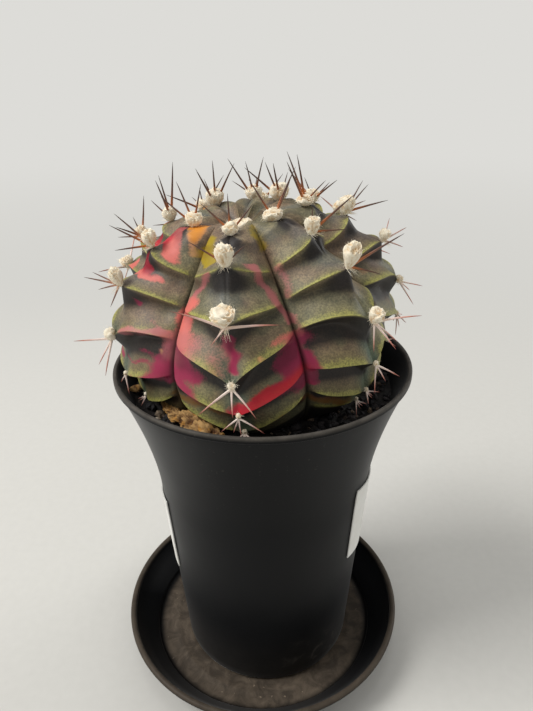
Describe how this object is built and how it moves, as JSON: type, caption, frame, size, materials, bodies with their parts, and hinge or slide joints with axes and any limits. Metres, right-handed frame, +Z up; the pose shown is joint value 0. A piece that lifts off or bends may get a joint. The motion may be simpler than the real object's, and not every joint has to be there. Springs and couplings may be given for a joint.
{
  "type": "potted cactus",
  "caption": "Squat ribbed cactus with wool pads and spines, rooted in a tall flared black plastic pot standing on its round saucer.",
  "frame": {"origin": "middle of the saucer's flat underside, on the surface that it stands on", "axes": "+Z up, -Y towards the plant's best side, +X to its right"},
  "size_m": [0.0895, 0.0882, 0.1545],
  "materials": {
    "black_plastic": "satin black moulded polypropylene, dusty in places",
    "label_paper": "plain white sticker, bare",
    "potting_mix": "dark crumbly peat and grit mix",
    "cactus_skin": "waxy dark green plant skin with olive bands and pink, coral and yellow variegation",
    "areole_wool": "cream felted plant wool with red-brown and pale spines",
    "bark": "rough tan composted bark",
    "pale_grain": "small rough pumice grains"
  },
  "bodies": {
    "root": {"saucer": "black_plastic", "pot": "black_plastic", "pot_label": "label_paper", "potting_soil": "potting_mix", "cactus_stem": "cactus_skin", "crown_wool": "areole_wool", "bark_piece": "bark", "bark_crumb": "bark", "grain_left": "pale_grain", "grain_front": "pale_grain", "areole_front_1": "areole_wool", "areole_front_2": "areole_wool", "areole_front_3": "areole_wool", "areole_front_4": "areole_wool", "areole_front_5": "areole_wool", "areole_front_6": "areole_wool", "areole_right_1": "areole_wool", "areole_right_2": "areole_wool", "areole_right_3": "areole_wool", "areole_right_4": "areole_wool", "areole_right_5": "areole_wool", "areole_right_6": "areole_wool", "areole_right_7": "areole_wool", "areole_far_right_1": "areole_wool", "areole_far_right_2": "areole_wool", "areole_far_right_3": "areole_wool", "areole_far_right_4": "areole_wool", "areole_far_right_5": "areole_wool", "areole_far_right_6": "areole_wool", "areole_back_right_1": "areole_wool", "areole_back_right_2": "areole_wool", "areole_back_right_3": "areole_wool", "areole_back_right_4": "areole_wool", "areole_back_right_5": "areole_wool", "areole_back_right_6": "areole_wool", "areole_back_1": "areole_wool", "areole_back_2": "areole_wool", "areole_back_3": "areole_wool", "areole_back_4": "areole_wool", "areole_back_5": "areole_wool", "areole_back_6": "areole_wool", "areole_back_left_1": "areole_wool", "areole_back_left_2": "areole_wool", "areole_back_left_3": "areole_wool", "areole_back_left_4": "areole_wool", "areole_back_left_5": "areole_wool", "areole_back_left_6": "areole_wool", "areole_far_left_1": "areole_wool", "areole_far_left_2": "areole_wool", "areole_far_left_3": "areole_wool", "areole_far_left_4": "areole_wool", "areole_far_left_5": "areole_wool", "areole_far_left_6": "areole_wool", "areole_left_1": "areole_wool", "areole_left_2": "areole_wool", "areole_left_3": "areole_wool", "areole_left_4": "areole_wool", "areole_left_5": "areole_wool", "areole_left_6": "areole_wool"}
  },
  "joints": []
}
